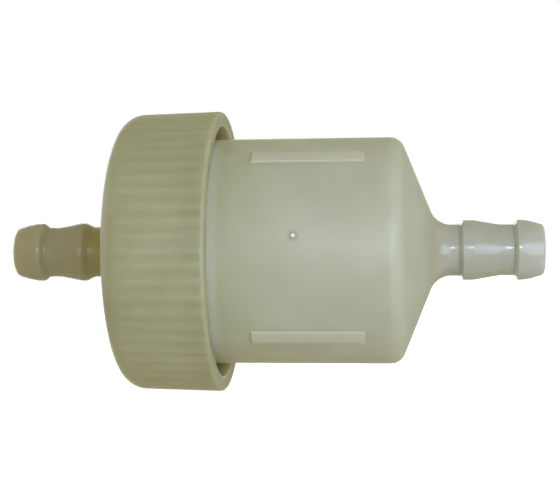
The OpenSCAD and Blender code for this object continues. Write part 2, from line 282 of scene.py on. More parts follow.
def outline(name, corners, closed=True, place=None):
    """Walks a wire from corner to corner, each given as (station, radius, rounding), and rounds its corners.

    place turns a corner's first two numbers into a point, and is (station, 0, radius) if not given."""
    place = place or (lambda along, out: Vector((along, 0, out)))
    spots = [place(corner[0], corner[1]) for corner in corners]
    bpy.ops.object.select_all(action="DESELECT")
    bpy.ops.mesh.primitive_plane_add(size=MM, location=spots[0])
    wire = bpy.context.object
    wire.name = name
    bpy.ops.object.transform_apply(location=True, rotation=True, scale=True)
    bpy.ops.object.mode_set(mode="EDIT")
    bpy.ops.mesh.select_mode(type="VERT")
    bpy.ops.mesh.select_all(action="SELECT")
    bpy.ops.mesh.merge(type="CENTER")
    for here, there in zip(spots, spots[1:]):
        bpy.ops.mesh.extrude_region_move(TRANSFORM_OT_translate={"value": there - here})
    near = 0.004 * MM
    if closed:
        ends = (spots[0], spots[-1])
        pick(wire, "VERT", lambda p, n: min((p - end).length for end in ends) < near)
        bpy.ops.mesh.edge_face_add()
    last = len(corners) - 1
    for i, (spot, corner) in enumerate(zip(spots, corners)):
        if not corner[2] or (not closed and i in (0, last)):
            continue
        before = (spot - spots[i - 1]).normalized()
        after = (spots[(i + 1) % len(spots)] - spot).normalized()
        bend = before.angle(after)
        pick(wire, "VERT", lambda p, n: (p - spot).length < near)
        bpy.ops.mesh.bevel(
            offset=corner[2] * math.tan(bend / 2), offset_type="OFFSET", profile=0.5,
            segments=max(2, round(math.degrees(bend) / 9)), affect="VERTICES",
        )
    bpy.ops.object.mode_set(mode="OBJECT")
    return wire


def clean(piece):
    """Merges doubled points and turns every face outwards."""
    bpy.ops.object.mode_set(mode="EDIT")
    bpy.ops.mesh.select_all(action="SELECT")
    bpy.ops.mesh.remove_doubles(threshold=0.001 * MM)
    bpy.ops.mesh.normals_make_consistent(inside=False)
    bpy.ops.object.mode_set(mode="OBJECT")


def turn_on_lathe(name, corners, steps, closed=True):
    """Spins a half section about the flow axis. One that starts and ends on the axis is left open there."""
    piece = outline(name, corners, closed)
    bpy.ops.object.mode_set(mode="EDIT")
    bpy.ops.mesh.select_all(action="SELECT")
    bpy.ops.mesh.spin(steps=steps, angle=2 * math.pi, center=(0, 0, 0), axis=(1, 0, 0))
    clean(piece)
    return piece


def modify(piece, kind, **settings):
    """Adds a modifier with its settings and applies it."""
    only(piece)
    bpy.ops.object.modifier_add(type=kind)
    added = piece.modifiers[-1]
    for key, value in settings.items():
        setattr(added, key, value)
    bpy.ops.object.modifier_apply(modifier=added.name)


def combine(piece, other, operation):
    """Joins or cuts a piece with another solid, which is used up."""
    modify(piece, "BOOLEAN", object=other, operation=operation, solver="EXACT")
    bpy.data.objects.remove(other)


def copies_round(piece, number, first=0.0):
    """Turns a solid to its first angle about the flow axis, and adds copies of it all round."""
    start = piece.data.copy()
    start.transform(Matrix.Rotation(first, 4, "X"))
    piece.data = start
    others = []
    for i in range(1, number):
        bpy.ops.object.select_all(action="DESELECT")
        copy = piece.copy()
        copy.data = piece.data.copy()
        copy.data.transform(Matrix.Rotation(i * 2 * math.pi / number, 4, "X"))
        bpy.context.scene.collection.objects.link(copy)
        others.append(copy)
    only(piece)
    for copy in others:
        copy.select_set(True)
    bpy.ops.object.join()
    return piece


def block(name, low, high, rounding):
    """A box from its low corner to its high corner, with rounded edges."""
    low, high = Vector(low), Vector(high)
    bpy.ops.object.select_all(action="DESELECT")
    bpy.ops.mesh.primitive_cube_add(size=1, location=(low + high) / 2, scale=high - low)
    piece = bpy.context.object
    piece.name = name
    bpy.ops.object.transform_apply(location=True, rotation=True, scale=True)
    bpy.ops.object.mode_set(mode="EDIT")
    bpy.ops.mesh.select_all(action="SELECT")
    bpy.ops.mesh.bevel(offset=rounding, segments=2, affect="EDGES")
    bpy.ops.object.mode_set(mode="OBJECT")
    return piece


def ridges(name, sizes, foot_r, crest_r, start, end):
    """The helical ridges of all starts of a thread, with tapered ends. Foot and crest are radii."""
    half_foot, half_crest = sizes.foot / 2, sizes.crest / 2
    ease = 0.15 * MM
    ridge = outline(name, [
        (start - half_foot, foot_r, 0), (start - half_crest, crest_r, ease),
        (start + half_crest, crest_r, ease), (start + half_foot, foot_r, 0),
    ])
    run = end - start
    turns = run / sizes.lead
    steps = round(turns * 72)
    modify(ridge, "SCREW", axis="X", angle=turns * 2 * math.pi, screw_offset=run,
           steps=steps, render_steps=steps, use_merge_vertices=False)
    bpy.ops.object.mode_set(mode="EDIT")
    bpy.ops.mesh.select_all(action="SELECT")
    bpy.ops.mesh.region_to_loop()
    bpy.ops.mesh.edge_face_add()
    bpy.ops.object.mode_set(mode="OBJECT")
    # Both ends sink into the wall over a few sections
    one = turns * 360 / steps
    taper = 5
    for k in range(taper):
        depth = abs(crest_r - foot_r) * (1 - k / taper)
        sink = (1 - depth / crest_r) if crest_r > foot_r else (1 + depth / crest_r)
        for at in (90 + k * one, 90 + turns * 360 - k * one):
            wanted = (at + 180) % 360 - 180
            pick(ridge, "VERT", lambda p, n: (
                abs((turned(p) - wanted + 180) % 360 - 180) < one / 4
                and abs(radius(p) - foot_r) > 0.2 * abs(crest_r - foot_r)
            ))
            bpy.ops.transform.resize(value=(1, sink, sink), center_override=(0, 0, 0))
            bpy.ops.object.mode_set(mode="OBJECT")
    clean(ridge)
    return copies_round(ridge, sizes.starts)


def barb(sizes, tip, way, humps):
    """Half section of a hose barb from its passage at the tip to the neck.

    way is 1 if the barb runs towards +X from its tip. humps are (distance from the tip, share of a ring's
    height, rounding)."""
    step = sizes.ring_r - sizes.neck_r
    corners = [(tip, sizes.passage_r, 0.25 * MM), (tip, sizes.tip_r, 0.45 * MM)]
    for distance, share, rounding in humps:
        corners.append((tip + way * distance * MM, sizes.neck_r + step * share, rounding * MM))
    return corners


def finish(piece, body, node, look, soft_below=35):
    """Gives a finished piece its shading, material and body, and hides the CAD node that it stands for."""
    only(piece)
    bpy.ops.object.shade_smooth_by_angle(angle=math.radians(soft_below))
    piece.data.materials.clear()
    piece.data.materials.append(look)
    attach(piece, body)
    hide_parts(node)
    bpy.ops.object.select_all(action="DESELECT")


# ---- Materials ----


def add_node(tree, kind, settings=None, values=None, links=None, stops=None):
    """Adds a node with its settings, the values of its sockets, the links into it and its ramp's stops."""
    made = tree.nodes.new(kind)
    for key, value in (settings or {}).items():
        setattr(made, key, value)
    for key, value in (values or {}).items():
        made.inputs[key].default_value = value
    for key, source in (links or {}).items():
        tree.links.new(source, made.inputs[key])
    if stops:
        ramp = made.color_ramp
        while len(ramp.elements) < len(stops):
            ramp.elements.new(0.5)
        for element, (position, shade) in zip(ramp.elements, stops):
            element.position = position
            element.color = shade
    return made


def new_look(name):
    """A new material with an empty tree, its object coordinates and its output."""
    look = bpy.data.materials.new(name)
    look.use_nodes = True
    tree = look.node_tree
    tree.nodes.clear()
    place = add_node(tree, "ShaderNodeTexCoord").outputs["Object"]
    output = add_node(tree, "ShaderNodeOutputMaterial")
    return look, tree, place, output


def grain(tree, place, size_mm, height_mm, detail=3.0, stretch=(1, 1, 1)):
    """A bump of soft noise. size_mm is the width of a grain and height_mm its height."""
    spread = add_node(tree, "ShaderNodeMapping", {"vector_type": "POINT"}, {"Scale": stretch},
                      {"Vector": place})
    noise = add_node(tree, "ShaderNodeTexNoise", None,
                     {"Scale": 1 / (size_mm * MM), "Detail": detail, "Roughness": 0.55},
                     {"Vector": spread.outputs["Vector"]})
    return add_node(tree, "ShaderNodeBump", None, {"Strength": 1.0, "Distance": height_mm * MM},
                    {"Height": noise.outputs["Fac"]})


def mottled(tree, place, shade, size_mm, dark, light):
    """A colour that clouds lighten and darken a little. size_mm is the width of a cloud."""
    cloud = add_node(tree, "ShaderNodeTexNoise", None,
                     {"Scale": 1 / (size_mm * MM), "Detail": 4.0, "Roughness": 0.5}, {"Vector": place})
    tone = add_node(tree, "ShaderNodeValToRGB", None, None, {"Fac": cloud.outputs["Fac"]},
                    [(0.3, linear(dark)), (0.7, linear(light))])
    linked = isinstance(shade, bpy.types.NodeSocket)
    mix = add_node(
        tree, "ShaderNodeMix", {"data_type": "RGBA", "blend_type": "MULTIPLY"},
        {"Factor": 1.0} if linked else {"Factor": 1.0, MIX_A: shade},
        {MIX_A: shade, MIX_B: tone.outputs["Color"]} if linked else {MIX_B: tone.outputs["Color"]},
    )
    return mix.outputs[MIX_RESULT]


def inside_skirt(tree, place, apart, shade, recess_lightening):
    """Paints a paler colour beyond a station and within a radius, inside the skirt: painted light, standing
    in for light that comes through the translucent skirt into its recess.

    shelter is (station, radius, colour)."""
    station, reach, paler_colour = recess_lightening
    beyond = add_node(tree, "ShaderNodeMath", {"operation": "GREATER_THAN"}, {1: station},
                      {0: apart.outputs["X"]})
    across = add_node(tree, "ShaderNodeVectorMath", {"operation": "MULTIPLY"}, {1: (0, 1, 1)}, {0: place})
    out = add_node(tree, "ShaderNodeVectorMath", {"operation": "LENGTH"}, None, {0: across.outputs["Vector"]})
    within = add_node(tree, "ShaderNodeMath", {"operation": "LESS_THAN"}, {1: reach},
                      {0: out.outputs["Value"]})
    in_recess = add_node(tree, "ShaderNodeMath", {"operation": "MULTIPLY"}, None,
                      {0: beyond.outputs["Value"], 1: within.outputs["Value"]})
    lightened = add_node(tree, "ShaderNodeMix", {"data_type": "RGBA"}, {MIX_B: paler_colour},
                    {0: in_recess.outputs["Value"], MIX_A: shade})
    return lightened.outputs[MIX_RESULT]


def over_ribs(tree, apart, shade, ribs):
    """Paints the wall paler over the guide ribs: painted light, standing in for light that the thicker wall
    scatters back, where less of the dark inside shows through it.

    ribs is (start, end, spread, turn, half width, colour). Spread, turn and half width are angles."""
    start, end, spread, turn, half, paler = ribs
    around = add_node(tree, "ShaderNodeMath", {"operation": "ARCTAN2"}, None,
                      {0: apart.outputs["Z"], 1: apart.outputs["Y"]})
    turned_back = add_node(tree, "ShaderNodeMath", {"operation": "ADD"}, {1: turn},
                           {0: around.outputs["Value"]})
    quarter = add_node(tree, "ShaderNodeMath", {"operation": "PINGPONG"}, {1: math.pi / 2},
                       {0: turned_back.outputs["Value"]})
    across = add_node(tree, "ShaderNodeMath", {"operation": "COMPARE"}, {1: spread, 2: half},
                      {0: quarter.outputs["Value"]})
    within = add_node(tree, "ShaderNodeMath", {"operation": "COMPARE"},
                      {1: (start + end) / 2, 2: (end - start) / 2}, {0: apart.outputs["X"]})
    over = add_node(tree, "ShaderNodeMath", {"operation": "MULTIPLY"}, None,
                    {0: across.outputs["Value"], 1: within.outputs["Value"]})
    backed = add_node(tree, "ShaderNodeMix", {"data_type": "RGBA"}, {MIX_B: paler},
                      {0: over.outputs["Value"], MIX_A: shade})
    return backed.outputs[MIX_RESULT]


def gate_highlight_and_shade(tree, place, shade, gate):
    """Adds a white dot 0.4 mm wide on the gate stub, a painted highlight where the lamps would glint, in a
    faintly darker ring 1.6 mm wide of painted shade.

    gate is (point, colour)."""
    point, white = gate
    away = add_node(tree, "ShaderNodeVectorMath", {"operation": "DISTANCE"}, {1: point}, {0: place})
    mark = add_node(tree, "ShaderNodeMapRange", None, {"From Max": MM}, {"Value": away.outputs["Value"]})
    painted_shade_ring = add_node(tree, "ShaderNodeValToRGB", None, None, {"Fac": mark.outputs["Result"]},
                     [(0.3, linear("E2E2E0")), (0.8, linear("FFFFFF"))])
    highlight_spot = add_node(tree, "ShaderNodeMapRange", None, {
        "From Min": 0.17 * MM, "From Max": 0.25 * MM, "To Min": 1.0, "To Max": 0.0,
    }, {"Value": away.outputs["Value"]})
    dimmed = add_node(tree, "ShaderNodeMix", {"data_type": "RGBA", "blend_type": "MULTIPLY"},
                      {"Factor": 1.0}, {MIX_A: shade, MIX_B: painted_shade_ring.outputs["Color"]})
    highlighted = add_node(tree, "ShaderNodeMix", {"data_type": "RGBA"}, {MIX_B: white},
                        {0: highlight_spot.outputs["Result"], MIX_A: dimmed.outputs[MIX_RESULT]})
    return highlighted.outputs[MIX_RESULT]


def natural_nylon(name, low, high, stops, satin, polish, ribs=None, gate=None, recess_lightening=None):
    """Natural polyamide, injection moulded. It glows, because light wanders a few millimetres inside it.

    stops are (station, colour) from low to high along the flow axis, for walls of changing thickness, and for
    painted light and shade near the cap's mouth and on the inlet barb.
    satin and polish are (station, roughness): the barb is polished, so that a hose slides on.
    ribs, gate and shelter are what over_ribs, gate_highlight_and_shade and inside_skirt take."""
    look, tree, place, output = new_look(name)
    apart = add_node(tree, "ShaderNodeSeparateXYZ", None, None, {"Vector": place})
    along = add_node(tree, "ShaderNodeMapRange", {"interpolation_type": "LINEAR"},
                     {"From Min": low, "From Max": high}, {"Value": apart.outputs["X"]})
    spans = [((station - low) / (high - low), shade) for station, shade in stops]
    tint = add_node(tree, "ShaderNodeValToRGB", None, None, {"Fac": along.outputs["Result"]}, spans)
    # Clouds 5 mm wide: nylon takes up moisture and fuel unevenly
    shade = mottled(tree, place, tint.outputs["Color"], 5.0, "F4F4EF", "FFFFFF")
    if recess_lightening:
        shade = inside_skirt(tree, place, apart, shade, recess_lightening)
    if ribs:
        shade = over_ribs(tree, apart, shade, ribs)
    if gate:
        shade = gate_highlight_and_shade(tree, place, shade, gate)
    gloss = add_node(tree, "ShaderNodeMapRange", None, {
        "From Min": satin[0], "From Max": polish[0], "To Min": satin[1], "To Max": polish[1],
    }, {"Value": apart.outputs["X"]})
    # Moulded skin: grain 0.4 mm wide, drawn coarser than the real 0.05 mm so that it shows
    skin = grain(tree, place, 0.4, 0.006)
    shader = add_node(tree, "ShaderNodeBsdfPrincipled", None, {
        "IOR": 1.53, "Subsurface Weight": 1.0, "Subsurface Radius": (1.0, 0.95, 0.7),
        "Subsurface Scale": 3 * MM,
    }, {"Base Color": shade, "Normal": skin.outputs["Normal"], "Roughness": gloss.outputs["Result"]})
    tree.links.new(shader.outputs["BSDF"], output.inputs["Surface"])
    return look


def moulded_plastic(name, shade):
    """Pigmented polyamide, injection moulded: opaque, an even soft gloss."""
    look, tree, place, output = new_look(name)
    tone = mottled(tree, place, shade, 3.0, "EFEFEA", "FFFFFF")
    skin = grain(tree, place, 0.3, 0.004)
    shader = add_node(tree, "ShaderNodeBsdfPrincipled", None, {
        "Roughness": 0.42, "IOR": 1.53, "Subsurface Weight": 0.15,
        "Subsurface Radius": (1.0, 0.9, 0.7), "Subsurface Scale": 0.4 * MM,
    }, {"Base Color": tone, "Normal": skin.outputs["Normal"]})
    tree.links.new(shader.outputs["BSDF"], output.inputs["Surface"])
    return look


def moulded_nitrile(name, shade):
    """Nitrile rubber, compression moulded: nearly black, dull, with a fine talc-grey bloom."""
    look, tree, place, output = new_look(name)
    tone = mottled(tree, place, shade, 1.5, "C8C8C4", "FFFFFF")
    skin = grain(tree, place, 0.15, 0.006)
    shader = add_node(tree, "ShaderNodeBsdfPrincipled", None, {"Roughness": 0.62, "IOR": 1.52},
                      {"Base Color": tone, "Normal": skin.outputs["Normal"]})
    tree.links.new(shader.outputs["BSDF"], output.inputs["Surface"])
    return look


def filter_paper(name, shade):
    """Resin-cured cellulose, pleated hot: matt, with fibres that run every way."""
    look, tree, place, output = new_look(name)
    tone = mottled(tree, place, shade, 0.8, "D9CFBC", "FFFFFF")
    # Fibres: 0.12 mm wide, stretched along the axis so that they read as strands
    fibres = grain(tree, place, 0.12, 0.02, 4.0, (0.35, 1, 1))
    shader = add_node(tree, "ShaderNodeBsdfPrincipled", None, {
        "Roughness": 0.85, "IOR": 1.47, "Sheen Weight": 0.15, "Sheen Roughness": 0.5,
    }, {"Base Color": tone, "Normal": fibres.outputs["Normal"]})
    tree.links.new(shader.outputs["BSDF"], output.inputs["Surface"])
    return look


def tinned_steel(name, shade):
    """Tinned steel, rolled: grey metal with fine drawn lines along the strip."""
    look, tree, place, output = new_look(name)
    tone = mottled(tree, place, shade, 1.0, "DCDCD8", "FFFFFF")
    lines = grain(tree, place, 0.08, 0.004, 2.0, (0.04, 1, 1))
    shader = add_node(tree, "ShaderNodeBsdfPrincipled", None, {"Roughness": 0.34, "Metallic": 1.0},
                      {"Base Color": tone, "Normal": lines.outputs["Normal"]})
    tree.links.new(shader.outputs["BSDF"], output.inputs["Surface"])
    return look


def cured_plastisol(name, shade):
    """Plastisol glue, poured and oven cured: amber, glossy, slightly wavy."""
    look, tree, place, output = new_look(name)
    tone = mottled(tree, place, shade, 1.2, "D2C3A0", "FFFFFF")
    waves = grain(tree, place, 1.0, 0.03, 1.0)
    shader = add_node(tree, "ShaderNodeBsdfPrincipled", None, {
        "Roughness": 0.25, "IOR": 1.53, "Subsurface Weight": 0.3,
        "Subsurface Radius": (1.0, 0.6, 0.2), "Subsurface Scale": 0.5 * MM,
    }, {"Base Color": tone, "Normal": waves.outputs["Normal"]})
    tree.links.new(shader.outputs["BSDF"], output.inputs["Surface"])
    return look


# ---- Operators ----


class FILTER_OT_bowl(bpy.types.Operator):
    """Models the bowl with its outlet barb, guide ribs, thread and gate mark"""

    bl_idname = "fuel_filter.bowl"
    bl_label = "Bowl"

    def execute(self, context):
        scene = context.scene
        sizes, colours = scene.filter_bowl, scene.filter_colours
        barbs, thread = scene.filter_barbs, scene.filter_thread
        outer, bore = sizes.outer_r, sizes.outer_r - sizes.wall
        slope = math.tan(sizes.cone)
        corner = RIM + sizes.body_l
        tip_of_cone = corner + (outer - barbs.neck_r) / slope
        bore_corner = corner - sizes.wall * math.tan(sizes.cone / 2)
        boss_r = sizes.socket_r + sizes.socket_wall
        boss_face = SPIGOT_END - sizes.socket_l
        floor = SPIGOT_END + sizes.socket_floor
        rib_end = corner - sizes.rib_inset
        rib_start = rib_end - sizes.rib_l
        outlet = barb(barbs, OUTLET_TIP, -1, [
            (1.9, 0.9, 4), (2.6, 1.0, 2), (3.05, 1.0, 0.12), (3.5, -0.09, 0.25), (5.2, -0.05, 4),
            (8.05, 0.97, 1.5), (9.3, 1.0, 0.12), (9.75, 0.0, 0.3),
        ])
        bowl = turn_on_lathe("bowl_shell", [
            (RIM, bore, 0.3 * MM), (RIM, outer, 0.4 * MM), (rib_start, outer, 0), (rib_end, outer, 0),
            (corner, outer, sizes.corner_round), (tip_of_cone, barbs.neck_r, sizes.root_round),
            *reversed(outlet),
            (floor, barbs.passage_r, 0), (floor, sizes.socket_r, 0.3 * MM),
            (boss_face, sizes.socket_r, 0.35 * MM), (boss_face, boss_r, 0.3 * MM),
            (bore_corner + (bore - boss_r) / slope, boss_r, 0.5 * MM), (bore_corner, bore, 0.6 * MM),
            (rib_end, bore, 0), (rib_start, bore, 0),
        ], 240)

        # Guide ribs grow inwards from the bore, and a low pad with sloping edges stands over each
        middles = [
            side + way * math.degrees(sizes.rib_spread) - math.degrees(sizes.rib_turn)
            for side in (0, 180) for way in (-1, 1)
        ]
        half = math.degrees(sizes.pad_half)

        def over_rib(point, wall_r):
            near = any(abs((turned(point) - middle + 180) % 360 - 180) < half for middle in middles)
            return near and rib_start < point.x < rib_end and abs(radius(point) - wall_r) < 0.1 * MM

        pick(bowl, "FACE", lambda p, n: over_rib(p, outer))
        pad_edge = 0.2 * MM
        bpy.ops.mesh.inset(thickness=pad_edge, depth=sizes.pad_h)
        pick(bowl, "FACE", lambda p, n: over_rib(p, bore))
        shrink = sizes.rib_inner_r / bore
        bpy.ops.mesh.extrude_region_move()
        bpy.ops.transform.resize(value=(1, shrink, shrink), center_override=(0, 0, 0))
        bpy.ops.object.mode_set(mode="OBJECT")

        first = RIM + thread.rim_land
        combine(bowl, ridges("ridges", thread, outer - 0.4 * MM, thread.male_crest_r, first,
                             CAP_MOUTH - 3 * MM), "UNION")

        # Gate mark: the stub that is left where the plastic entered the mould
        bpy.ops.object.select_all(action="DESELECT")
        out = Vector((0, -math.cos(sizes.gate_turn), math.sin(sizes.gate_turn)))
        stands, shank, sunk = 0.2 * MM, 0.8 * MM, 0.45 * MM
        crown_inset, crown_h = 0.14 * MM, 0.1 * MM
        gate = Vector((sizes.gate_at, 0, 0)) + out * (outer + stands)
        bpy.ops.mesh.primitive_cylinder_add(
            vertices=24, radius=sizes.gate_r, depth=shank,
            location=gate - out * sunk, rotation=out.to_track_quat("Z", "Y").to_euler(),
        )
        stub = bpy.context.object
        bpy.ops.object.transform_apply(location=True, rotation=True, scale=True)
        pick(stub, "FACE", lambda p, n: n.dot(out) > 0.9)
        bpy.ops.mesh.inset(thickness=crown_inset, depth=crown_h)
        bpy.ops.object.mode_set(mode="OBJECT")
        combine(bowl, stub, "UNION")

        # The painted light over the ribs stops short of the pads' sloping edges
        flat = sizes.pad_half - math.radians(0.3)
        look = natural_nylon("natural_nylon_bowl", -7 * MM, 31 * MM, [
            # Painted light at the cap's mouth: paler to offset the shade of the gap under the skirt
            (-6.2 * MM, colours.bowl_under_cap_painted_light), (-5 * MM, colours.bowl_mouth),
            (4 * MM, colours.bowl), (17 * MM, colours.bowl),
            (18.8 * MM, colours.cone_tip), (21 * MM, colours.outlet),
        ], (17 * MM, 0.4), (20 * MM, 0.17), ribs=(
            rib_start + pad_edge, rib_end - pad_edge, sizes.rib_spread, sizes.rib_turn, flat, colours.rib_pad_painted_light,
        ), gate=(gate, colours.gate))
        finish(bowl, "bowl", "bowl", look)
        return {"FINISHED"}


class FILTER_OT_inlet_cap(bpy.types.Operator):
    """Models the screw cap with its inlet barb, grip ribs and inner thread"""

    bl_idname = "fuel_filter.inlet_cap"
    bl_label = "Inlet cap"

    def execute(self, context):
        scene = context.scene
        sizes, colours = scene.filter_cap, scene.filter_colours
        barbs, thread = scene.filter_barbs, scene.filter_thread
        face = CAP_INNER - sizes.end_wall
        face_r = CAP_R - sizes.draft
        inlet = barb(barbs, INLET_TIP, 1, [
            (1.7, 0.8, 6), (2.6, 1.0, 3), (3.2, 0.98, 0.45), (3.8, 0.0, 0.5), (5.2, 0.0, 4),
            (7.7, 0.98, 1.2), (8.35, 1.0, 0.8), (9.3, 0.0, 1.2),
        ])
        columns = 8
        cap = turn_on_lathe("cap_shell", [
            *inlet,
            (face, barbs.neck_r, 0.5 * MM), (face, face_r, sizes.edge_round),
            (CAP_MOUTH, CAP_R, 0.45 * MM), (CAP_MOUTH, sizes.skirt_r, 0.3 * MM),
            (CAP_INNER, sizes.skirt_r, 0.5 * MM), (CAP_INNER, barbs.passage_r, 0.3 * MM),
        ], sizes.grip_count * columns)

        # Valleys sink between the grip ribs, and fade out over the rounded edge of the end face.
        # Each rib takes 8 columns of points: 3 at full depth, one on either side at about half
        pitch = 360 / sizes.grip_count
        outside = CAP_R - 0.7 * MM
        fade_from, fade_to = face + 0.8 * MM, face + 2.4 * MM
        stations = sorted({round(v.co.x, 6) for v in cap.data.vertices if radius(v.co) > outside})
        for share, offsets in ((0.55, (2, 6)), (1.0, (3, 4, 5))):
            for low, high in zip(stations, stations[1:] + [CAP_MOUTH + MM]):
                depth = share * sizes.grip_h * min(1, max(0, (low - fade_from) / (fade_to - fade_from)))
                if not depth:
                    continue
                pick(cap, "VERT", lambda p, n: (
                    low - 0.001 * MM < p.x < high - 0.001 * MM and radius(p) > outside
                    and round((turned(p) % pitch) / pitch * columns) % columns in offsets
                ))
                valley = 1 - depth / CAP_R
                bpy.ops.transform.resize(value=(1, valley, valley), center_override=(0, 0, 0))
                bpy.ops.object.mode_set(mode="OBJECT")

        first = RIM + thread.rim_land + thread.lead / thread.starts / 2
        combine(cap, ridges("ridges", thread, sizes.skirt_r + 0.4 * MM, thread.female_crest_r, first,
                            CAP_MOUTH - 1.5 * MM), "UNION")
        look = natural_nylon("natural_nylon_cap", -31 * MM, -6 * MM, [
            # Painted shade on the inlet barb and a painted glow at its root
            (-31 * MM, colours.inlet), (-23.5 * MM, colours.inlet), (-20.5 * MM, colours.inlet_root_painted_glow),
            (-18.3 * MM, colours.cap_edge), (-14 * MM, colours.cap), (-9.5 * MM, colours.cap),
            # Painted shade at the cap's mouth
            (-6.5 * MM, colours.cap_mouth_painted_shade),
        ], (-19 * MM, 0.42), (-24 * MM, 0.26),
            # Inside the skirt: painted light, a paler colour in the recess
            recess_lightening=(CAP_INNER, sizes.skirt_r + 0.15 * MM, colours.cap_inside_painted_light))
        finish(cap, "cap", "inlet_cap", look)
        return {"FINISHED"}


class FILTER_OT_cap_gasket(bpy.types.Operator):
    """Models the flat gasket between rim and cap"""

    bl_idname = "fuel_filter.cap_gasket"
    bl_label = "Cap gasket"

    def execute(self, context):
        hole = context.scene.filter_bowl.outer_r - context.scene.filter_bowl.wall + 0.1 * MM
        gasket = turn_on_lathe("gasket_ring", [
            (CAP_INNER, hole, 0.2 * MM), (CAP_INNER, GASKET_R, 0.25 * MM),
            (RIM, GASKET_R, 0.25 * MM), (RIM, hole, 0.2 * MM),
        ], 180)
        look = moulded_nitrile("moulded_nitrile_gasket", context.scene.filter_colours.rubber)
        finish(gasket, "gasket", "cap_gasket", look)
        return {"FINISHED"}


class FILTER_OT_end_discs(bpy.types.Operator):
    """Models the closed disc with its lugs and tabs, and the outlet disc with its spigot"""

    bl_idname = "fuel_filter.end_discs"
    bl_label = "End discs"

    def execute(self, context):
        sizes = context.scene.filter_element
        look = moulded_plastic("moulded_nylon_discs", context.scene.filter_colours.disc)
        back = CLOSED_DISC_FRONT - sizes.disc_t
        rim_r = DISC_R - sizes.disc_rim_t
        ease = 0.15 * MM
        closed = turn_on_lathe("closed_disc", [
            (back, 0, 0), (back, DISC_R, 0.3 * MM), (MEDIA_START, DISC_R, ease),
            (MEDIA_START, rim_r, ease), (CLOSED_DISC_FRONT, rim_r, ease), (CLOSED_DISC_FRONT, 0, 0),
        ], 144, closed=False)
        lug = block("lugs", (LUG_TIP, -sizes.lug_w / 2, 4 * MM),
                    (back + 0.6 * MM, sizes.lug_w / 2, DISC_R - MM), 0.25 * MM)
        combine(closed, copies_round(lug, 4, math.radians(45)), "UNION")
        tab = block("tabs", (back + 0.02 * MM, -sizes.tab_w / 2, rim_r),
                    (CLOSED_DISC_FRONT - 0.02 * MM, sizes.tab_w / 2, sizes.tab_r), 0.2 * MM)
        combine(closed, copies_round(tab, 4, math.radians(45)), "UNION")
        finish(closed, "element", "closed_end_disc", look)

        outlet_back = OUTLET_DISC_FRONT + sizes.disc_t
        groove = sizes.seal_t / 2 + 0.03 * MM
        groove_r = SEAL_R - sizes.seal_t - 0.03 * MM
        outlet = turn_on_lathe("outlet_disc", [
            (OUTLET_DISC_FRONT, sizes.spigot_bore_r, ease), (OUTLET_DISC_FRONT, rim_r, ease),
            (MEDIA_END, rim_r, ease), (MEDIA_END, DISC_R, ease), (outlet_back, DISC_R, 0.3 * MM),
            (outlet_back, sizes.spigot_r, 0.3 * MM), (SEAL_MID - groove, sizes.spigot_r, 0.1 * MM),
            (SEAL_MID - groove, groove_r, 0.2 * MM), (SEAL_MID + groove, groove_r, 0.2 * MM),
            (SEAL_MID + groove, sizes.spigot_r, 0.1 * MM), (SPIGOT_END, sizes.spigot_r, 0.4 * MM),
            (SPIGOT_END, sizes.spigot_bore_r, ease),
        ], 144)
        finish(outlet, "element", "outlet_end_disc", look)
        return {"FINISHED"}


class FILTER_OT_spigot_seal(bpy.types.Operator):
    """Models the O-ring on the spigot"""

    bl_idname = "fuel_filter.spigot_seal"
    bl_label = "Spigot seal"

    def execute(self, context):
        half = context.scene.filter_element.seal_t / 2
        middle = SEAL_R - half
        sides = 24
        corners = []
        for i in range(sides):
            around = 2 * math.pi * i / sides
            corners.append((SEAL_MID + half * math.sin(around), middle + half * math.cos(around), 0))
        seal = turn_on_lathe("seal_ring", corners, 96)
        look = moulded_nitrile("moulded_nitrile_seal", context.scene.filter_colours.rubber)
        finish(seal, "element", "spigot_seal", look, 60)
        return {"FINISHED"}


class FILTER_OT_core_tube(bpy.types.Operator):
    """Models the perforated core tube"""

    bl_idname = "fuel_filter.core_tube"
    bl_label = "Core tube"

    def execute(self, context):
        sizes = context.scene.filter_element
        inner = CORE_R - sizes.core_wall
        ease = 0.15 * MM
        tube = turn_on_lathe("core_shell", [
            (CLOSED_DISC_FRONT, inner, ease), (CLOSED_DISC_FRONT, CORE_R, ease),
            (OUTLET_DISC_FRONT, CORE_R, ease), (OUTLET_DISC_FRONT, inner, ease),
        ], 96)
        run = MEDIA_END - MEDIA_START
        rows = []
        for row in range(sizes.core_rows):
            bpy.ops.object.select_all(action="DESELECT")
            bpy.ops.mesh.primitive_cylinder_add(
                vertices=24, radius=sizes.core_hole_r, depth=sizes.core_wall + 0.8 * MM,
                location=(MEDIA_START + run * (row + 0.5) / sizes.core_rows, 0, CORE_R - sizes.core_wall / 2),
            )
            drill = bpy.context.object
            bpy.ops.object.transform_apply(location=True, rotation=True, scale=True)
            rows.append(copies_round(drill, sizes.core_columns, math.pi / sizes.core_columns * (row % 2)))
        only(rows[0])
        for row in rows[1:]:
            row.select_set(True)
        bpy.ops.object.join()
        combine(tube, rows[0], "DIFFERENCE")
        look = moulded_plastic("moulded_nylon_core", context.scene.filter_colours.core)
        finish(tube, "element", "core_tube", look)
        return {"FINISHED"}


def pleat_point(along, around):
    """A point of the pleats' section, from its radius and its angle in degrees from -Z."""
    turn = math.radians(around)
    return Vector((0, along * math.sin(turn), -along * math.cos(turn)))


def pull(wire, low, high):
    """Pulls a wire out into a sheet from one station to another."""
    only(wire)
    bpy.ops.object.mode_set(mode="EDIT")
    bpy.ops.mesh.select_all(action="SELECT")
    bpy.ops.transform.translate(value=(low, 0, 0))
    bpy.ops.mesh.extrude_region_move(TRANSFORM_OT_translate={"value": (high - low, 0, 0)})
    bpy.ops.object.mode_set(mode="OBJECT")


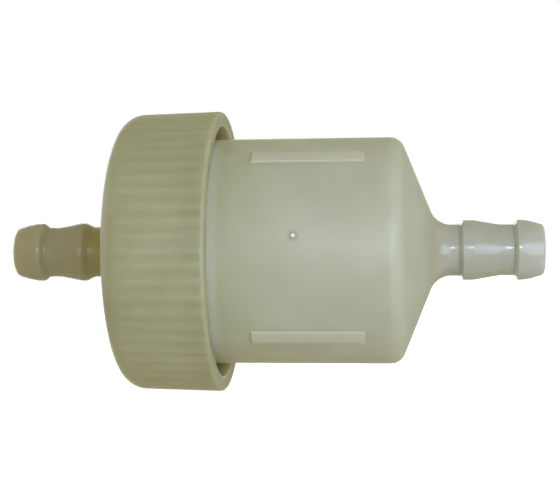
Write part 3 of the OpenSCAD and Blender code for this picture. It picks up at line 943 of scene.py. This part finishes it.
class FILTER_OT_pleated_media(bpy.types.Operator):
    """Models the pleated paper from one pleat, copied all round and thickened"""

    bl_idname = "fuel_filter.pleated_media"
    bl_label = "Pleated media"

    def execute(self, context):
        sizes = context.scene.filter_element
        half_paper = sizes.paper_t / 2
        out_r = MEDIA_R - half_paper
        in_r = CORE_R + 0.2 * MM + half_paper
        half = 180 / sizes.pleats
        outer_turn = math.degrees(math.asin((sizes.fold_out - sizes.paper_t) / 2 / out_r))
        inner_turn = math.degrees(math.asin((sizes.fold_in + sizes.paper_t) / 2 / in_r))
        pleat = outline("pleats", [
            (in_r, -half, 0), (in_r, inner_turn - half, 0.16 * MM), (out_r, -outer_turn, 0.3 * MM),
            (out_r, outer_turn, 0.3 * MM), (in_r, half - inner_turn, 0.16 * MM), (in_r, half, 0),
        ], closed=False, place=pleat_point)
        copies_round(pleat, sizes.pleats)
        clean(pleat)
        potted = 0.5 * MM
        pull(pleat, MEDIA_START - potted, MEDIA_END + potted)
        clean(pleat)
        modify(pleat, "SOLIDIFY", thickness=sizes.paper_t, offset=0.0)
        look = filter_paper("filter_paper_pleated", context.scene.filter_colours.paper)
        finish(pleat, "element", "pleated_media", look, 40)
        return {"FINISHED"}


class FILTER_OT_seam_strip(bpy.types.Operator):
    """Models the steel strip that clamps the paper's two ends at one pleat"""

    bl_idname = "fuel_filter.seam_strip"
    bl_label = "Seam strip"

    def execute(self, context):
        sizes = context.scene.filter_element
        half_strip = sizes.strip_t / 2
        low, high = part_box("seam_strip")
        crown_r = -low.z - half_strip
        crown = math.degrees((high.y - half_strip) / crown_r) * 0.8
        leg_r = -high.z + half_strip
        leg = math.degrees((high.y - half_strip) / leg_r) * 0.95
        strip = outline("strip", [
            (leg_r, -leg, 0), (crown_r, -crown, 0.25 * MM), (crown_r, crown, 0.25 * MM), (leg_r, leg, 0),
        ], closed=False, place=pleat_point)
        pull(strip, MEDIA_START, MEDIA_END)
        clean(strip)
        modify(strip, "SOLIDIFY", thickness=sizes.strip_t, offset=0.0)
        look = tinned_steel("tinned_steel_strip", context.scene.filter_colours.steel)
        finish(strip, "element", "seam_strip", look)
        return {"FINISHED"}


class FILTER_OT_bond_beads(bpy.types.Operator):
    """Models the two rings of glue that hold the paper in the end discs"""

    bl_idname = "fuel_filter.bond_beads"
    bl_label = "Bond beads"

    def execute(self, context):
        look = cured_plastisol("cured_plastisol_glue", context.scene.filter_colours.glue)
        for name, node, foot, top in (
            ("closed_bead", "closed_bond_bead", CLOSED_DISC_FRONT, MEDIA_START),
            ("outlet_bead", "outlet_bond_bead", OUTLET_DISC_FRONT, MEDIA_END),
        ):
            inner = CORE_R + 0.05 * MM
            low = top + (foot - top) * 0.25
            bead = turn_on_lathe(name, [
                (foot, inner, 0), (top, inner, 0.3 * MM), (low, (inner + BEAD_R) / 2, 3 * MM),
                (top, BEAD_R, 0.3 * MM), (foot, BEAD_R, 0),
            ], 120)
            finish(bead, "element", node, look, 50)
        return {"FINISHED"}


class FILTER_OT_stage(bpy.types.Operator):
    """Sets up the pale floor, the soft lights, the surroundings and the camera"""

    bl_idname = "fuel_filter.stage"
    bl_label = "Stage"

    def execute(self, context):
        scene = context.scene
        scene.view_settings.view_transform = "Standard"
        bpy.ops.object.select_all(action="DESELECT")
        bpy.ops.mesh.primitive_circle_add(
            vertices=96, radius=0.9, fill_type="NGON", location=(0, 0, CAD_BOX[0][2] - 0.1 * MM)
        )
        floor = bpy.context.object
        floor.name = "floor"
        bpy.ops.object.transform_apply(location=True, rotation=True, scale=True)
        # Matt backdrop paper, lit from behind a little so that it stays pale in the shade
        look, tree, place, output = new_look("backdrop_paper")
        tone = mottled(tree, place, scene.filter_colours.floor, 30.0, "FAFAFA", "FFFFFF")
        shader = add_node(tree, "ShaderNodeBsdfPrincipled", None, {
            "Roughness": 0.9, "IOR": 1.45, "Emission Color": (1, 1, 1, 1), "Emission Strength": 0.85,
        }, {"Base Color": tone})
        tree.links.new(shader.outputs["BSDF"], output.inputs["Surface"])
        floor.data.materials.append(look)
        # The floor doesn't tint the filter from below
        floor.visible_diffuse = False
        floor.visible_glossy = False

        # Each light has a place and a width in millimetres, a power in watts and a cool tint that
        # offsets the warm surroundings
        target = Vector((0.455, 0, -0.115)) * MM
        for name, place, size, power, tint in (
            ("key", (150, -190, 10), 200, 0.45, (0.56, 0.73, 1.0)),
            ("front", (10, -240, 0), 180, 0.11, (0.66, 0.82, 1.0)),
            ("flash", (40, -230, 40), 15, 0.045, (0.9, 0.95, 1.0)),
            ("back", (-90, 220, 0), 220, 0.32, (0.66, 0.8, 1.0)),
            ("side", (-235, 40, 30), 200, 0.12, (0.7, 0.84, 1.0)),
        ):
            place = Vector(place) * MM
            bpy.ops.object.light_add(type="AREA", location=place)
            lamp = bpy.context.object
            lamp.name = name
            lamp.data.shape = "DISK"
            lamp.data.size = size * MM
            lamp.data.energy = power
            lamp.data.color = tint
            lamp.rotation_euler = (target - place).to_track_quat("-Z", "Y").to_euler()

        world = bpy.data.worlds.new("studio")
        scene.world = world
        world.use_nodes = True
        tree = world.node_tree
        tree.nodes.clear()
        seen = add_node(tree, "ShaderNodeBackground", None, {"Color": (1, 1, 1, 1), "Strength": 1.0})
        fill = add_node(tree, "ShaderNodeBackground", None, {"Color": linear("FFFDDA"), "Strength": 0.54})
        path = add_node(tree, "ShaderNodeLightPath")
        mix = add_node(tree, "ShaderNodeMixShader", None, None, {
            0: path.outputs["Is Camera Ray"], 1: fill.outputs["Background"], 2: seen.outputs["Background"],
        })
        add_node(tree, "ShaderNodeOutputWorld", None, None, {"Surface": mix.outputs["Shader"]})

        # The camera stands level, about 6 degrees round towards the outlet
        swing = 0.1044
        distance = 154.7 * MM
        spot = target + distance * Vector((math.sin(swing), -math.cos(swing), 0))
        bpy.ops.object.camera_add(location=spot)
        camera = bpy.context.object
        camera.name = "camera"
        camera.data.lens = 83.57
        camera.data.sensor_width = 36
        camera.data.clip_start = 0.01
        aim = (target - spot).to_track_quat("-Z", "Y")
        roll = Matrix.Rotation(math.radians(-0.3), 4, "Z").to_quaternion()
        camera.rotation_euler = (aim @ roll).to_euler()
        scene.camera = camera
        return {"FINISHED"}


class FILTER_PT_panel(bpy.types.Panel):
    """Lists the pieces of the fuel filter"""

    bl_label = "In-line fuel filter"
    bl_idname = "FILTER_PT_panel"
    bl_space_type = "VIEW_3D"
    bl_region_type = "UI"
    bl_category = "Filter"

    def draw(self, context):
        for operator in OPERATORS:
            self.layout.operator(operator.bl_idname)
        for key, group in GROUPS.items():
            box = self.layout.box()
            box.label(text=group.__doc__)
            for item in group.__annotations__:
                box.prop(getattr(context.scene, key), item)


GROUPS = {
    "filter_barbs": BarbSizes,
    "filter_bowl": BowlSizes,
    "filter_cap": CapSizes,
    "filter_thread": ThreadSizes,
    "filter_element": ElementSizes,
    "filter_colours": FilterColours,
}
OPERATORS = (
    FILTER_OT_bowl,
    FILTER_OT_inlet_cap,
    FILTER_OT_cap_gasket,
    FILTER_OT_end_discs,
    FILTER_OT_spigot_seal,
    FILTER_OT_core_tube,
    FILTER_OT_pleated_media,
    FILTER_OT_seam_strip,
    FILTER_OT_bond_beads,
    FILTER_OT_stage,
)


def register():
    """Registers the classes and hangs the property groups on the scene."""
    for group in GROUPS.values():
        bpy.utils.register_class(group)
    for key, group in GROUPS.items():
        setattr(bpy.types.Scene, key, bpy.props.PointerProperty(type=group))
    for operator in OPERATORS:
        bpy.utils.register_class(operator)
    bpy.utils.register_class(FILTER_PT_panel)


def unregister():
    """Takes everything away that register() added."""
    bpy.utils.unregister_class(FILTER_PT_panel)
    for operator in reversed(OPERATORS):
        bpy.utils.unregister_class(operator)
    for key, group in reversed(list(GROUPS.items())):
        delattr(bpy.types.Scene, key)
        bpy.utils.unregister_class(group)


def main():
    """Builds the whole filter and its stage."""
    register()
    for operator in OPERATORS:
        group, name = operator.bl_idname.split(".")
        getattr(getattr(bpy.ops, group), name)()


if __name__ == "__main__":
    main()
